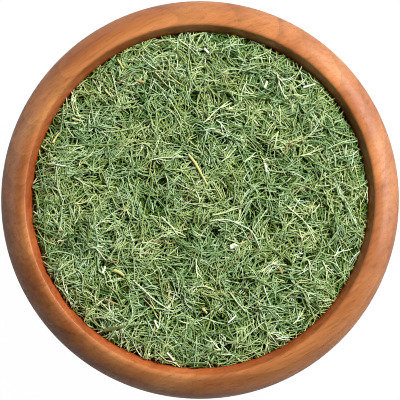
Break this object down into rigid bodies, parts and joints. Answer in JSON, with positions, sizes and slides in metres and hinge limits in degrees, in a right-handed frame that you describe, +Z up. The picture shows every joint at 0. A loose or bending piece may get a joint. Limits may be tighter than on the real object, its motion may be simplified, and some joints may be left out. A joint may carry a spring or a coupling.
{
  "type": "wooden bowl of dried dill",
  "caption": "Small round turned wooden bowl with a rounded rim and flat foot, filled almost to the rim with dried cut dill leaf and pale stalk chips.",
  "frame": {"origin": "middle of the underside of the foot, at the bottom centre of the bounding box", "axes": "+Z up along the bowl's turning axis; the turned wood's grain runs 30 degrees from +X towards +Y; +X and +Y are otherwise free, because the bowl is round"},
  "size_m": [0.12, 0.12, 0.045],
  "materials": {
    "wood": "satin",
    "dill_mass": "matte",
    "dill_leaf": "matte",
    "stalk_white": "matte",
    "stalk_straw": "matte",
    "stalk_tan": "matte",
    "stalk_olive": "matte"
  },
  "bodies": {
    "root": {"bowl": "wood", "dill_fill": "dill_mass", "stem_piece_01": "stalk_straw", "stem_piece_02": "stalk_white", "stem_piece_03": "stalk_straw", "stem_piece_04": "stalk_white", "stem_piece_05": "stalk_white", "stem_piece_06": "stalk_white", "stem_piece_07": "stalk_white", "stem_piece_08": "stalk_straw", "stem_piece_09": "stalk_straw", "stem_piece_10": "stalk_straw", "stem_piece_11": "stalk_tan", "stem_piece_12": "stalk_straw", "stem_piece_13": "stalk_white", "stem_piece_14": "stalk_straw", "stem_piece_15": "stalk_tan", "stem_piece_16": "stalk_olive", "stem_piece_17": "stalk_white", "stem_piece_18": "stalk_straw", "stem_piece_19": "stalk_white", "stem_piece_20": "stalk_tan", "stem_piece_21": "stalk_white", "stem_piece_22": "stalk_tan", "leaf_sprig_01": "dill_leaf", "leaf_sprig_02": "dill_leaf", "leaf_sprig_03": "dill_leaf", "leaf_sprig_04": "dill_leaf", "leaf_sprig_05": "dill_leaf", "leaf_sprig_06": "dill_leaf", "leaf_sprig_07": "dill_leaf", "leaf_sprig_08": "dill_leaf", "leaf_sprig_09": "dill_leaf", "leaf_sprig_10": "dill_leaf", "leaf_sprig_11": "dill_leaf", "leaf_sprig_12": "dill_leaf", "leaf_sprig_13": "dill_leaf", "leaf_sprig_14": "dill_leaf", "leaf_sprig_15": "dill_leaf", "leaf_sprig_16": "dill_leaf", "leaf_sprig_17": "dill_leaf", "leaf_sprig_18": "dill_leaf", "leaf_sprig_19": "dill_leaf", "leaf_sprig_20": "dill_leaf", "leaf_sprig_21": "dill_leaf", "leaf_sprig_22": "dill_leaf", "leaf_sprig_23": "dill_leaf", "leaf_sprig_24": "dill_leaf", "leaf_sprig_25": "dill_leaf", "leaf_sprig_26": "dill_leaf"}
  },
  "joints": []
}
